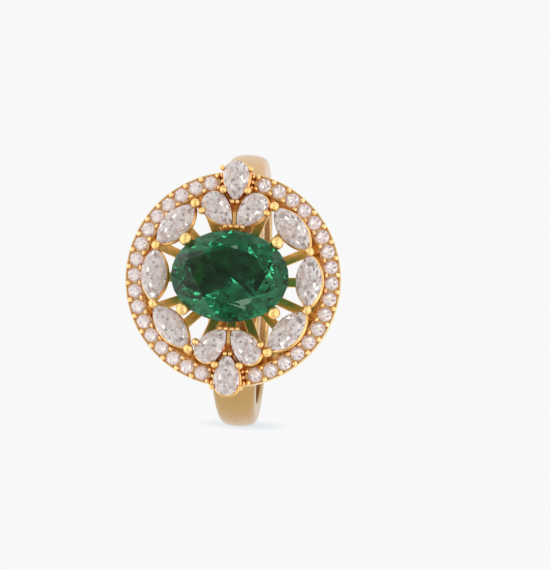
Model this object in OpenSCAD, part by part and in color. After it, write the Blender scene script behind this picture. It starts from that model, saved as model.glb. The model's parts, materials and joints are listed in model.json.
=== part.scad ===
// Cocktail ring: an oval centre stone in a four-claw basket, framed by six
// marquise stones, two groups of three pear stones and a round pave halo,
// carried on a spoked gallery and a plain band that widens towards the head.
// The origin is the centre of the finger hole. X runs along the finger,
// Y across the knuckle, and the centre stone faces +Z.

/* [Band] */
// Inside diameter of the band
finger_d = 18.2; // [14:0.1:22]
// Width of the band at the back
band_back_w = 2.8; // [2.2:0.1:4]
// Width of the band under the head
band_head_w = 4.3; // [3.6:0.1:5.2]
// Thickness of the band at the back
band_back_t = 1.4; // [1.1:0.1:1.8]
// Thickness of the band at the sides
band_side_t = 1.8; // [1.5:0.1:2.4]
// Height of the rounded crown across the outside of the band
band_dome = 0.45; // [0.2:0.05:0.6]

/* [Stones] */
// Length of the oval centre stone
centre_l = 9; // [7.2:0.1:10.8]
// Width of the oval centre stone
centre_w = 7; // [5.8:0.1:7.4]
// Length of each marquise stone
marquise_l = 3.85; // [3.2:0.05:4.7]
// Width of each marquise stone
marquise_w = 2; // [1.6:0.1:2.2]
// Length of each pear stone
pear_l = 3; // [2.5:0.1:3.1]
// Width of each pear stone
pear_w = 2; // [1.6:0.1:2.1]
// Diameter of each small round stone in the halo
melee_d = 1.05; // [0.85:0.01:1.3]

/* [Head] */
// Gap between the centre stone and the marquise stone at its end
side_gap = 0.45; // [0.3:0.05:0.8]
// Gap between the points of neighbouring marquise stones
tip_gap = 0.64; // [0.56:0.02:0.9]
// Length of the halo arc on each side, as an angle
halo_arc = 150; // [120:1:152]
// Gap between neighbouring small stones
melee_gap = 0.18; // [0.14:0.01:0.3]
// Height of the halo's wall
halo_h = 1.2; // [0.9:0.1:1.6]
// Height of the gallery from the band to the halo's upper face
gallery_h = 2; // [1.8:0.1:2.4]
// Height of the marquise and pear girdles above the halo's upper face
cluster_rise = 1.6; // [1.5:0.05:2.2]
// Height of the centre stone's girdle above the halo's upper face
centre_rise = 3.1; // [3.1:0.1:4]
// Number of spokes in the gallery
spoke_count = 16; // [8:4:16]
// Width of each spoke
spoke_w = 0.75; // [0.5:0.05:0.9]

/* [Prongs] */
// Diameter of each claw's wire on the centre stone
claw_d = 0.8; // [0.6:0.05:0.9]
// Diameter of each claw's rounded tip
claw_tip_d = 1; // [0.9:0.05:1.15]
// Diameter of the prong wires on the marquise and pear stones
prong_d = 0.4; // [0.3:0.05:0.45]
// Diameter of the small beads that hold the halo's stones
bead_d = 0.42; // [0.3:0.02:0.5]
// Gap between each stone and the metal around it
stone_clearance = 0.01; // [0.005:0.005:0.03]

/* [Hidden] */
$fn = 48;
gold = "#d8a24a";
green = "#1c6b45";
white = "#f0e4e0";

// Band: the outer surface is a circle whose centre sits above the finger's,
// so that the wall grows evenly from the back to the head.
finger_r = finger_d / 2;
band_rise = band_side_t - band_back_t;
band_outer_r = finger_r + band_side_t;
band_bottom_z = band_rise - band_outer_r;
seat_z = finger_r + band_side_t;

// Plan: the marquise circle clears the centre stone, lets the marquise stones
// fit between the pear groups, and leaves the pears clear of the centre stone.
pear_scale = pear_l / 3;
pear_reach = 1.92 * pear_scale;
marquise_fit = 1.545;
marquise_r = max(
    centre_l / 2 + marquise_w / 2 + side_gap,
    centre_w / 2 + 0.5 + pear_reach,
    marquise_fit * marquise_l
);
marquise_step = 2 * atan((marquise_l + tip_gap) / 2 / marquise_r);
halo_inner_r = marquise_r + marquise_w / 2;
halo_lip = 0.1;
melee_r = halo_inner_r + halo_lip + 0.03 + melee_d / 2;
halo_outer_r = melee_r + melee_d / 2 + halo_lip + 0.06;
melee_turn = 2 * asin((melee_d + melee_gap) / 2 / melee_r);
melee_per_side = floor(halo_arc / melee_turn) + 1;

// Heights
halo_top_z = seat_z + gallery_h;
halo_bottom_z = halo_top_z - halo_h;
cluster_z = halo_top_z + cluster_rise;
centre_z = halo_top_z + centre_rise;
base_h = 0.6;
base_outer_r = min(2.1, band_head_w / 2 - 0.05);
base_inner_r = base_outer_r - 0.8;
basket_foot_h = 0.4;
spoke_t = 0.4;

// Cut of the stones, as fractions of a stone's width
crown_part = 0.135;
girdle_part = 0.03;
pavilion_part = 0.42;
table_part = 0.58;
star_part = 0.78;
lower_part = 0.25;
tip_part = 0.2;

// Places of the repeated stones
marquise_names = [
    "right", "upper_right", "upper_left", "left", "lower_left", "lower_right"
];
marquise_turns = [
    0, marquise_step, 180 - marquise_step,
    180, 180 + marquise_step, -marquise_step
];
pear_names = [
    "top_outer", "top_left", "top_right",
    "bottom_outer", "bottom_left", "bottom_right"
];
pear_tip_x = 0.323 * pear_scale;
pear_tip_y = marquise_r - pear_reach;
pear_point_l = pear_l - pear_w / 2;
pear_lean = 39;
outer_pear_y = pear_tip_y + 1.97 * pear_scale + pear_point_l;
cluster_turns = [0, 180];
cluster_names = ["top", "bottom"];
side_names = ["right", "left"];

function two_digits(n) = n < 10 ? str("0", n) : str(n);
function melee_name(side, n) = str("melee_", side_names[side], "_", two_digits(n));

// ---- Outlines -----------------------------------------------------------

// A pointed outline is two long arcs joined by a small round tip at each end:
// the tip's radius and centre, then the radius and centre offset of the arcs
function tip_r(w) = tip_part * w;
function tip_x(l, w) = l / 2 - tip_r(w);
function point_arc_c(l, w) =
    let (half_w = w / 2 - tip_r(w))
    (pow(tip_x(l, w), 2) - half_w * half_w) / (2 * half_w);
function point_arc_r(l, w) = point_arc_c(l, w) + w / 2;

// Where an arc meets a tip, as a share of the tip centre's reach
function tip_join(l, w, r) = 1 + r / (point_arc_r(l, w) - tip_r(w));

function pointed_reach(l, w, a) =
    let (
        c = point_arc_c(l, w),
        r = point_arc_r(l, w),
        x = tip_x(l, w),
        join_x = x * tip_join(l, w, tip_r(w)),
        join_y = c * (tip_join(l, w, tip_r(w)) - 1),
        on_tip = abs(sin(a)) * join_x < abs(cos(a)) * join_y
    )
    on_tip ? x * abs(cos(a)) + sqrt(pow(tip_r(w), 2) - pow(x * sin(a), 2))
    : sqrt(r * r - pow(c * cos(a), 2)) - c * abs(sin(a));

function pointed_point(l, w, turn) =
    let (a = atan2(w * sin(turn), l * cos(turn)))
    pointed_reach(l, w, a) * [cos(a), sin(a)];

// A point on a stone's outline; a pear is placed by its round end's centre
function outline_point(kind, l, w, turn) =
    kind == "oval" ? [l / 2 * cos(turn), w / 2 * sin(turn)]
    : kind == "marquise" ? pointed_point(l, w, turn)
    : cos(turn) > 0 ? w / 2 * [cos(turn), sin(turn)]
    : pointed_point(2 * l - w, w, turn);

module marquise_outline(l, w, grow) {
    c = point_arc_c(l, w);
    r = point_arc_r(l, w) + grow;
    end_r = tip_r(w) + grow;
    join_x = tip_x(l, w) * tip_join(l, w, max(end_r, 0));
    intersection() {
        translate([0, -c]) circle(r);
        translate([0, c]) circle(r);
        square([2 * join_x, 2 * w], center = true);
    }
    if (end_r > 0.02)
        for (side = [-1, 1]) translate([side * tip_x(l, w), 0]) circle(end_r);
}

module pear_outline(l, w, grow) {
    circle(w / 2 + grow);
    intersection() {
        marquise_outline(2 * l - w, w, grow);
        translate([-2 * l, -l]) square([2 * l, 2 * l]);
    }
}

// An oval of four arcs: two small ones at the ends, two large ones between
module oval_outline(l, w, grow) {
    end_r = 0.4 * w;
    end_x = l / 2 - end_r;
    side_r = (pow(end_x, 2) + pow(w / 2, 2) - pow(end_r, 2)) / (w - 2 * end_r);
    side_y = side_r - w / 2;
    join_x = end_x * (side_r + grow) / (side_r - end_r);
    for (side = [-1, 1]) translate([side * end_x, 0]) circle(end_r + grow);
    intersection() {
        translate([0, -side_y]) circle(side_r + grow);
        translate([0, side_y]) circle(side_r + grow);
        square([2 * join_x, 2 * w], center = true);
    }
}

// ---- Stones -------------------------------------------------------------

function ring_points(kind, l, w, part, z, turns) = [
    for (turn = turns)
        let (p = part * outline_point(kind, l, w, turn))
            [p[0], p[1], z]
];

// Corner points of a brilliant cut, with the middle of its girdle at z = 0
function brilliant_points(kind, l, w, fine) =
    let (
        crown = crown_part * w,
        edge = girdle_part * w / 2,
        pavilion = pavilion_part * w,
        mains = [0:45:315],
        halves = [22.5:45:337.5],
        corners = [0:22.5:337.5],
        star_z = edge + crown * (1 - star_part * cos(22.5)) / (1 - table_part),
        lower_z = -edge - pavilion * (1 - lower_part * cos(22.5))
    )
    concat(
        ring_points(kind, l, w, table_part, edge + crown, mains),
        ring_points(kind, l, w, star_part, star_z, halves),
        ring_points(kind, l, w, 1, edge, corners),
        fine ? ring_points(kind, l, w, 1, 0, [11.25:22.5:348.75]) : [],
        ring_points(kind, l, w, 1, -edge, corners),
        ring_points(kind, l, w, lower_part, lower_z, halves),
        [[0, 0, -edge - pavilion]]
    );

module brilliant(kind, l, w, fine = true) {
    points = brilliant_points(kind, l, w, fine);
    hull() polyhedron(points = points, faces = [[for (i = [0:len(points) - 1]) i]]);
}

// The room that a stone takes in its setting
module stone_room(kind, l, w) {
    brilliant(kind, l + 2 * stone_clearance, w + 2 * stone_clearance);
}

function stone_depth(w) = (girdle_part / 2 + pavilion_part) * w;

// ---- Placing ------------------------------------------------------------

// Local X runs along the circle and local Y points at the ring's centre
module on_circle(turn, r, z) {
    rotate([0, 0, turn]) translate([r, 0, z]) rotate([0, 0, 90]) children();
}

module place_marquise(i) {
    on_circle(marquise_turns[i], marquise_r, cluster_z) children();
}

// The stones of a pear group: 0 is the outer one, 1 and 2 flank the stem
module place_pear(i) {
    side = i == 1 ? -1 : 1;
    if (i == 0)
        translate([0, outer_pear_y, cluster_z]) rotate([0, 0, 90]) children();
    else
        translate([
            side * (pear_tip_x + pear_point_l * sin(pear_lean)),
            pear_tip_y + pear_point_l * cos(pear_lean),
            cluster_z
        ])
            rotate([0, 0, 90 - side * pear_lean]) children();
}

module place_melee(side, n) {
    turn = (n - (melee_per_side + 1) / 2) * melee_turn;
    on_circle(180 * side + turn, melee_r, melee_z) children();
}

// A straight round wire between two points
module wire(from, to, d) {
    run = to - from;
    translate(from)
        rotate([0, acos(run[2] / norm(run)), atan2(run[1], run[0])])
            cylinder(d = d, h = norm(run));
}

// ---- Band ---------------------------------------------------------------

// Half the band's width at a height: nearly even, then flaring up to the seat
function band_half_w(z) =
    band_back_w / 2
    + (band_head_w - band_back_w) / 2
        * pow((z - band_bottom_z) / (seat_z - band_bottom_z), 4);

module band_side_outline() {
    steps = 24;
    low = band_bottom_z - 1;
    heights = [for (i = [0:steps]) low + (seat_z - low) * i / steps];
    polygon(concat(
        [for (z = heights) [band_half_w(z), z]],
        [for (i = [steps:-1:0]) [-band_half_w(heights[i]), heights[i]]]
    ));
}

module band_section() {
    half_w = band_head_w / 2;
    dome_r = (half_w * half_w + band_dome * band_dome) / (2 * band_dome);
    inner_r = finger_r - band_rise - 0.5;
    intersection() {
        translate([band_outer_r - dome_r, 0]) circle(dome_r, $fn = 240);
        translate([inner_r, -half_w]) square([band_side_t + band_rise + 1, band_head_w]);
    }
}

module shank() {
    color(gold) difference() {
        intersection() {
            translate([0, 0, band_rise])
                rotate([0, 90, 0]) rotate_extrude($fn = 128) band_section();
            rotate([90, 0, 0])
                linear_extrude(3 * finger_d, center = true) band_side_outline();
        }
        rotate([0, 90, 0])
            cylinder(r = finger_r, h = 2 * band_head_w, center = true, $fn = 128);
    }
}

// ---- Gallery ------------------------------------------------------------

spoke_inner_r = base_outer_r - 0.15;
spoke_inner_z = seat_z + base_h - 0.05;
spoke_outer_z = halo_top_z - 0.15;

function spoke_top_z(r) =
    spoke_inner_z
    + (spoke_outer_z - spoke_inner_z) * (r - spoke_inner_r) / (halo_inner_r - spoke_inner_r);

// A flat strip that climbs from the base ring to the halo's inner wall
module spoke() {
    end_r = halo_inner_r + 0.2;
    rotate([90, 0, 0])
        linear_extrude(spoke_w, center = true)
            polygon([
                [spoke_inner_r, spoke_top_z(spoke_inner_r) - spoke_t],
                [end_r, spoke_top_z(end_r) - spoke_t],
                [end_r, spoke_top_z(end_r)],
                [spoke_inner_r, spoke_top_z(spoke_inner_r)]
            ]);
}

module spokes() {
    for (i = [0:spoke_count - 1]) rotate([0, 0, i * 360 / spoke_count]) spoke();
}

module gallery() {
    color(gold) {
        translate([0, 0, seat_z]) difference() {
            cylinder(r = base_outer_r, h = base_h);
            translate([0, 0, -1]) cylinder(r = base_inner_r, h = base_h + 2);
        }
        intersection() {
            spokes();
            cylinder(r = halo_inner_r, h = 2 * halo_top_z, $fn = 128);
        }
    }
}

// ---- Halo ---------------------------------------------------------------

melee_edge = girdle_part * melee_d / 2;
melee_z = halo_top_z + melee_edge;
drill_r = 0.28 * melee_d;
bead_inset = 0.42 * melee_d;

// The ledge inside the halo's foot runs below the spokes
module halo_section() {
    bevel = 0.2;
    lip_h = 0.1;
    ledge_w = 0.7;
    ledge_top_z = spoke_outer_z - spoke_t - 0.3;
    polygon([
        [halo_inner_r, ledge_top_z],
        [halo_inner_r - ledge_w, ledge_top_z - 0.1],
        [halo_inner_r - ledge_w, halo_bottom_z],
        [halo_outer_r - bevel, halo_bottom_z],
        [halo_outer_r, halo_bottom_z + bevel],
        [halo_outer_r, halo_top_z + lip_h],
        [halo_outer_r - halo_lip, halo_top_z + lip_h],
        [halo_outer_r - halo_lip, halo_top_z],
        [halo_inner_r + halo_lip, halo_top_z],
        [halo_inner_r + halo_lip, halo_top_z + lip_h],
        [halo_inner_r, halo_top_z + lip_h]
    ]);
}

// A stone's seat: its own room above, and a drilled hole right through below
module melee_seat() {
    r = melee_d / 2 + stone_clearance;
    crown = crown_part * melee_d;
    pavilion = pavilion_part * melee_d;
    rotate_extrude() polygon([
        [0, -2 * halo_h],
        [drill_r, -2 * halo_h],
        [drill_r, -melee_edge - pavilion * (1 - drill_r / r)],
        [r, -melee_edge],
        [r, melee_edge],
        [r * table_part, melee_edge + crown],
        [r * table_part, 1],
        [0, 1]
    ]);
}

module halo_bead(side, gap, edge) {
    turn = 180 * side + (gap - melee_per_side / 2) * melee_turn;
    on_circle(turn, melee_r + edge * bead_inset, halo_top_z + 0.02) sphere(d = bead_d);
}

// Three more beads fill the space between the last stone and the pear group
module halo_end_beads(side) {
    end_turn = (melee_per_side / 2 + 0.3) * melee_turn;
    for (end = [-1, 1], edge = [-1:1])
        on_circle(180 * side + end * end_turn, melee_r + edge * bead_inset, halo_top_z + 0.02)
            sphere(d = bead_d);
}

module halo_rim() {
    color(gold) difference() {
        union() {
            rotate_extrude($fn = 160) halo_section();
            for (side = [0, 1], gap = [0:melee_per_side], edge = [-1, 1])
                halo_bead(side, gap, edge);
            for (side = [0, 1]) halo_end_beads(side);
        }
        for (side = [0, 1], n = [1:melee_per_side]) place_melee(side, n) melee_seat();
    }
}

module melee_stone(side, n) {
    color(white) place_melee(side, n) brilliant("oval", melee_d, melee_d, false);
}

// ---- Centre stone and its basket ----------------------------------------

claw_turn = 44.4;
claw_tip = outline_point("oval", centre_l, centre_w, claw_turn) * 1.083;

module claw(mirror_x, mirror_y) {
    tip = [mirror_x * claw_tip[0], mirror_y * claw_tip[1], centre_z + 0.12];
    foot_r = base_outer_r - claw_d / 2;
    foot = [
        mirror_x * foot_r * claw_tip[0] / norm(claw_tip),
        mirror_y * foot_r * claw_tip[1] / norm(claw_tip),
        seat_z + base_h + basket_foot_h / 2
    ];
    wire(foot, tip, claw_d);
    translate(tip) sphere(d = claw_tip_d);
}

// The rail that the centre stone's pavilion rests on
module stone_rail() {
    inset = 0.55;
    wall = 0.4;
    h = 0.45;
    drop = (girdle_part / 2 + pavilion_part * 2 * inset / centre_w) * centre_w + 0.02;
    translate([0, 0, centre_z - drop - h]) linear_extrude(h) difference() {
        oval_outline(centre_l, centre_w, wall - inset);
        oval_outline(centre_l, centre_w, -inset);
    }
}

module centre_basket() {
    foot_z = seat_z + base_h;
    color(gold) difference() {
        union() {
            stone_rail();
            translate([0, 0, foot_z]) cylinder(r = base_outer_r, h = basket_foot_h);
            for (mx = [-1, 1], my = [-1, 1]) claw(mx, my);
        }
        translate([0, 0, foot_z - 1]) cylinder(r = base_inner_r, h = 2 + basket_foot_h);
        translate([0, 0, foot_z - 1]) cube([9, 9, 2], center = true);
        translate([0, 0, centre_z]) stone_room("oval", centre_l, centre_w);
    }
}

module centre_stone() {
    color(green) translate([0, 0, centre_z]) brilliant("oval", centre_l, centre_w);
}

// ---- Marquise and pear settings -----------------------------------------

collet_inset = 0.34;
collet_wall = 0.28;
flange = 0.1;
cross_t = 0.35;
post_d = 0.7;
post_lap = 0.3;

function collet_top(w) =
    -(girdle_part / 2 + pavilion_part * 2 * collet_inset / w) * w - 0.01;
function collet_bottom(w) = -stone_depth(w) - 0.05 - cross_t;

// A prong: a wire beside the collet with a round bead that laps the stone
module prong(at, d, bead, w) {
    translate([at[0], at[1], collet_bottom(w)])
        cylinder(d = d, h = 0.08 - collet_bottom(w));
    translate([at[0], at[1], 0.1]) sphere(d = bead);
}

// The bar across a collet's foot, which carries it on its post
module cross_bar(length, w) {
    translate([0, 0, collet_bottom(w) + cross_t / 2])
        cube([0.6, length, cross_t], center = true);
}

module collet_wall_shape(w) {
    translate([0, 0, collet_bottom(w)])
        linear_extrude(collet_top(w) - collet_bottom(w)) children();
}

// The wider ledge at a collet's foot that its prongs stand on
module collet_flange(w) {
    translate([0, 0, collet_bottom(w)]) linear_extrude(cross_t) children();
}

// Prongs along a marquise stone: the two end settings hold a shared bead at
// each of their points, and the others have one at the point by the pears.
shared_prong_r = marquise_r / cos(marquise_step / 2 - 2);
shared_prong_at = [
    shared_prong_r * sin(marquise_step / 2),
    marquise_r - shared_prong_r * cos(marquise_step / 2)
];
own_prong_at = [marquise_l / 2 + 0.25, 0];

module marquise_prongs(i) {
    toward_pears = i == 1 || i == 4 ? 1 : -1;
    if (i % 3 == 0)
        for (side = [-1, 1])
            prong([side * shared_prong_at[0], shared_prong_at[1]],
                prong_d, 1.9 * prong_d, marquise_w);
    else
        prong(toward_pears * own_prong_at, prong_d, 1.95 * prong_d, marquise_w);
}

// The flange keeps to its own share of the circle, and where the shared prong
// belongs to the neighbour it leaves room for its wire
module marquise_flange_outline(i) {
    reach = marquise_w;
    half_share = (marquise_r + reach) * tan(marquise_step / 2 - 0.1);
    difference() {
        intersection() {
            marquise_outline(marquise_l, marquise_w, flange);
            polygon([[0, marquise_r], [-half_share, -reach], [half_share, -reach]]);
        }
        marquise_outline(marquise_l, marquise_w, -collet_inset);
        if (i % 3 != 0)
            for (side = [-1, 1])
                translate([side * shared_prong_at[0], shared_prong_at[1]])
                    circle(d = prong_d + 2 * stone_clearance);
    }
}

// How far a foot at this turn reaches sideways to stand on the nearest spoke,
// which is nothing where the post alone laps that spoke by post_lap or more
function foot_reach(turn) =
    let (
        spoke_step = 360 / spoke_count,
        aside = turn - spoke_step * round(turn / spoke_step)
    )
    -sign(aside) * max(0, marquise_r * sin(abs(aside)) - (spoke_w + post_d) / 2 + post_lap);

// The foot under a collet: a short post that stands on the gallery's spokes
module foot_post(w, turn) {
    spoke_gap = cluster_z + collet_bottom(w) - spoke_top_z(marquise_r - post_d / 2);
    reach = foot_reach(turn);
    translate([0, 0, collet_bottom(w) - spoke_gap]) {
        cylinder(d = post_d, h = spoke_gap + 0.1);
        if (reach != 0) {
            translate([reach, 0, 0]) cylinder(d = post_d, h = spoke_gap + 0.1);
            translate([min(0, reach), -post_d / 2, 0]) cube([abs(reach), post_d, spoke_gap + 0.1]);
        }
    }
}

module marquise_setting(i) {
    color(gold) difference() {
        place_marquise(i) {
            collet_wall_shape(marquise_w) difference() {
                marquise_outline(marquise_l, marquise_w, collet_wall - collet_inset);
                marquise_outline(marquise_l, marquise_w, -collet_inset);
            }
            collet_flange(marquise_w) marquise_flange_outline(i);
            cross_bar(marquise_w - 2 * collet_inset + 0.2, marquise_w);
            foot_post(marquise_w, marquise_turns[i]);
            marquise_prongs(i);
        }
        for (k = i % 3 == 0 ? [i - 1, i, i + 1] : [i])
            place_marquise((k + 6) % 6) stone_room("marquise", marquise_l, marquise_w);
        spokes();
    }
}

module marquise_stone(i) {
    color(white) place_marquise(i) brilliant("marquise", marquise_l, marquise_w);
}

// Prong places on a pear group: across, along Y, wire and bead diameters
function pear_prongs() = [
    [1.08 * pear_w / 2, outer_pear_y + 0.4 * pear_scale, 0.3, 0.4],
    [0.93 * pear_w / 2, outer_pear_y - 1.3 * pear_scale, 0.46, 0.6],
    [0.19 * pear_w / 2, outer_pear_y - pear_point_l - 0.17, 0.26, 0.36],
    [pear_tip_x + 2.18 * pear_scale, pear_tip_y + 1.02 * pear_scale, 0.4, 0.6],
    [pear_tip_x - 0.08, pear_tip_y - 0.12, 0.26, 0.36],
    [pear_tip_x + 0.34, pear_tip_y - 0.14, 0.26, 0.36]
];

module stem() {
    stem_w = 0.34;
    stem_l = 1.1 * pear_scale;
    post_y = pear_tip_y + stem_l - 0.1;
    spoke_z = spoke_top_z(post_y - 0.3);
    translate([-stem_w / 2, pear_tip_y - 0.1, cluster_z - 0.55])
        cube([stem_w, stem_l, 0.5]);
    translate([0, post_y, spoke_z]) cylinder(d = 0.5, h = cluster_z - 0.3 - spoke_z);
}

module pear_collet(i) {
    place_pear(i) {
        collet_wall_shape(pear_w) difference() {
            pear_outline(pear_l, pear_w, collet_wall - collet_inset);
            pear_outline(pear_l, pear_w, -collet_inset);
        }
        cross_bar(pear_w - 2 * collet_inset + 0.2, pear_w);
        collet_flange(pear_w) difference() {
            pear_outline(pear_l, pear_w, flange);
            pear_outline(pear_l, pear_w, -collet_inset);
        }
    }
}

// The beaded bar beside the centre stone that holds the inner pears' points
module point_bar() {
    bar_l = 1.5 * pear_scale;
    bar_w = 0.24;
    translate([-bar_l / 2, pear_tip_y - 0.13 - bar_w / 2, cluster_z + collet_bottom(pear_w)])
        cube([bar_l, bar_w, 0.05 - collet_bottom(pear_w)]);
}

// The flat web under a pear group that ties its collets together
module pear_web() {
    web_w = 0.5;
    bar_z = cluster_z + collet_bottom(pear_w);
    pear_x = pear_tip_x + pear_point_l * sin(pear_lean);
    pear_y = pear_tip_y + pear_point_l * cos(pear_lean);
    stem_y = pear_tip_y + 0.6;
    translate([-web_w / 2, stem_y, bar_z])
        cube([web_w, outer_pear_y - stem_y, cross_t]);
    translate([-pear_x, pear_y - web_w / 2, bar_z]) cube([2 * pear_x, web_w, cross_t]);
}

module pear_setting(i) {
    halo_gap = cluster_z + collet_bottom(pear_w) - halo_top_z;
    color(gold) rotate([0, 0, cluster_turns[i]]) difference() {
        union() {
            for (k = [0:2]) pear_collet(k);
            pear_web();
            point_bar();
            stem();
            translate([0, melee_r, halo_top_z]) cylinder(d = post_d, h = halo_gap + 0.1);
            translate([0, 0, cluster_z])
                for (p = pear_prongs(), side = [-1, 1])
                    prong([side * p[0], p[1]], p[2], p[3], pear_w);
        }
        for (k = [0:2]) place_pear(k) stone_room("pear", pear_l, pear_w);
        spokes();
    }
}

module pear_stone(i) {
    color(white)
        rotate([0, 0, cluster_turns[floor(i / 3)]])
            place_pear(i == 4 ? 2 : i == 5 ? 1 : i % 3)
                brilliant("pear", pear_l, pear_w);
}

// ---- Assembly -----------------------------------------------------------

shank();
gallery();
halo_rim();
centre_basket();
centre_stone();
for (i = [0:5]) {
    marquise_setting(i);
    marquise_stone(i);
    pear_stone(i);
}
for (i = [0, 1])
    pear_setting(i);
for (side = [0, 1], n = [1:melee_per_side])
    melee_stone(side, n);
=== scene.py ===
"""Cocktail ring: the visual model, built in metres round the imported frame.

The finger runs along X, the stones face +Z, and every piece rides on the one body, root.
"""

import json
import math

import bmesh
import bpy
from mathutils import Matrix, Vector


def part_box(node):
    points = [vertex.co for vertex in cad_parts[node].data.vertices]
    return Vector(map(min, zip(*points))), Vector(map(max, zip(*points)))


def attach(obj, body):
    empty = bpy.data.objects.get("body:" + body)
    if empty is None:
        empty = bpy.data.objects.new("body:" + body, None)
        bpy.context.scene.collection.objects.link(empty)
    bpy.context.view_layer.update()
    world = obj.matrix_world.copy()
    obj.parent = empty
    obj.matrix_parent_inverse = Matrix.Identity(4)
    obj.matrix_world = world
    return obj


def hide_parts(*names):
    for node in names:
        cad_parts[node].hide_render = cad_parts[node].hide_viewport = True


MM = 0.001

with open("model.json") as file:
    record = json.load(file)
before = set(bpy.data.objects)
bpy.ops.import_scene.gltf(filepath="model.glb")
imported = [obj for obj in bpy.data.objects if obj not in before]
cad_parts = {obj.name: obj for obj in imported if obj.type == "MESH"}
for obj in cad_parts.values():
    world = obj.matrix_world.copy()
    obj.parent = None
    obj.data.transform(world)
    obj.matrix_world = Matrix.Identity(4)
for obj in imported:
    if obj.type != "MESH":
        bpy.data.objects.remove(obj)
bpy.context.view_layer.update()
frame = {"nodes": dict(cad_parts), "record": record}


# ---- Sizes, read from the frame -------------------------------------------------------

def size_of(node):
    """The length of a CAD node's box along each axis."""
    low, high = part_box(node)
    return high - low


def centre_of(node):
    """The middle of a CAD node's box."""
    low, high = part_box(node)
    return (low + high) / 2


shank_low, shank_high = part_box("shank")
halo_low, halo_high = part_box("halo_rim")
gallery_low, gallery_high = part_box("gallery")
basket_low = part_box("centre_basket")[0]
bore = next(m for m in frame["record"]["mounts"] if m["name"] == "finger_bore")

CENTRE_L, CENTRE_W = size_of("centre_stone").x, size_of("centre_stone").y
MARQUISE_W, MARQUISE_L = size_of("marquise_stone_right").x, size_of("marquise_stone_right").y
PEAR_W, PEAR_L = size_of("pear_stone_top_outer").x, size_of("pear_stone_top_outer").y
MELEE = sorted(n for n in frame["nodes"] if n.startswith("melee_"))
MELEE_D = size_of("melee_right_09").y
MELEE_PER_SIDE = len(MELEE) // 2

# How a stone's height splits up, and the radius of a pointed end, as fractions of its width
CROWN, GIRDLE, PAVILION = 0.135, 0.03, 0.42
TIP = 0.2

# So small that a direction straight across a pear counts as on its pointed or round half
HAIR = 1e-9


def girdle_z(node, width):
    """The height of the middle of a stone's girdle."""
    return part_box(node)[1].z - (CROWN + GIRDLE / 2) * width


CENTRE_Z = girdle_z("centre_stone", CENTRE_W)
CLUSTER_Z = girdle_z("marquise_stone_right", MARQUISE_W)
MELEE_Z = girdle_z("melee_right_09", MELEE_D)
MARQUISE_R = centre_of("marquise_stone_right").x
MELEE_R = Vector(centre_of("melee_right_09").xy).length
HALO_OUTER_R = halo_high.x
HALO_INNER_R = MARQUISE_R + MARQUISE_W / 2
PEAR_LEAN = math.radians(39)
MARQUISES = ["right", "upper_right", "upper_left", "left", "lower_left", "lower_right"]
PEARS = ["outer", "left", "right"]


# ---- Outlines -------------------------------------------------------------------------

def pointed_parts(length, width):
    """Two long arcs joined by small round tips: tip radius, tip centre, arc centre offset."""
    tip_r = TIP * width
    tip_x, half_w = length / 2 - tip_r, width / 2 - tip_r
    return tip_r, tip_x, (tip_x**2 - half_w**2) / (2 * half_w)


def pointed_corner(length, width, turn):
    """The point of a pointed outline in one direction; turn is squeezed to its proportions."""
    tip_r, tip_x, arc_c = pointed_parts(length, width)
    a = math.atan2(width * math.sin(turn), length * math.cos(turn))
    share = tip_r / math.hypot(tip_x, arc_c)
    if abs(math.sin(a)) * tip_x * (1 + share) < abs(math.cos(a)) * arc_c * share:
        reach = tip_x * abs(math.cos(a)) + math.sqrt(tip_r**2 - (tip_x * math.sin(a)) ** 2)
    else:
        arc_r = arc_c + width / 2
        reach = math.sqrt(arc_r**2 - (arc_c * math.cos(a)) ** 2) - arc_c * abs(math.sin(a))
    return reach * math.cos(a), reach * math.sin(a)


def pointed(length, width, turn, grow):
    """The point of a pointed outline that faces the direction turn, moved outwards by grow."""
    tip_r, tip_x, arc_c = pointed_parts(length, width)
    cos, sin = math.cos(turn), math.sin(turn)
    if abs(sin) * tip_x < abs(cos) * arc_c:
        reach = tip_r + grow
        return math.copysign(tip_x, cos) + reach * cos, reach * sin
    reach = arc_c + width / 2 + grow
    return reach * cos, reach * sin - math.copysign(arc_c, sin)


def corner(kind, length, width, turn):
    """A facet corner on a stone's outline. A pear's round end faces +X."""
    if kind == "marquise":
        return pointed_corner(length, width, turn)
    if kind == "pear" and math.cos(turn) < HAIR:
        return pointed_corner(2 * length - width, width, turn)
    if kind == "pear":
        return width / 2 * math.cos(turn), width / 2 * math.sin(turn)
    return length / 2 * math.cos(turn), width / 2 * math.sin(turn)


def outline(kind, length, width, turn, grow):
    """The point of a stone's outline that faces the direction turn, moved out by grow."""
    if kind == "marquise":
        return pointed(length, width, turn, grow)
    if kind == "pear" and math.cos(turn) < -HAIR:
        return pointed(2 * length - width, width, turn, grow)
    cos, sin = math.cos(turn), math.sin(turn)
    if kind == "pear":
        return (width / 2 + grow) * cos, (width / 2 + grow) * sin
    half_l, half_w = length / 2, width / 2
    reach = math.hypot(half_l * cos, half_w * sin)
    return half_l**2 * cos / reach + grow * cos, half_w**2 * sin / reach + grow * sin


# ---- Mesh building --------------------------------------------------------------------

def new_object(name, vertices, faces):
    """An object from points and faces, with its faces all turned outwards."""
    mesh = bpy.data.meshes.new(name)
    mesh.from_pydata([tuple(v) for v in vertices], [], faces)
    work = bmesh.new()
    work.from_mesh(mesh)
    bmesh.ops.recalc_face_normals(work, faces=work.faces)
    work.to_mesh(mesh)
    work.free()
    obj = bpy.data.objects.new(name, mesh)
    bpy.context.scene.collection.objects.link(obj)
    return obj


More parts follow.
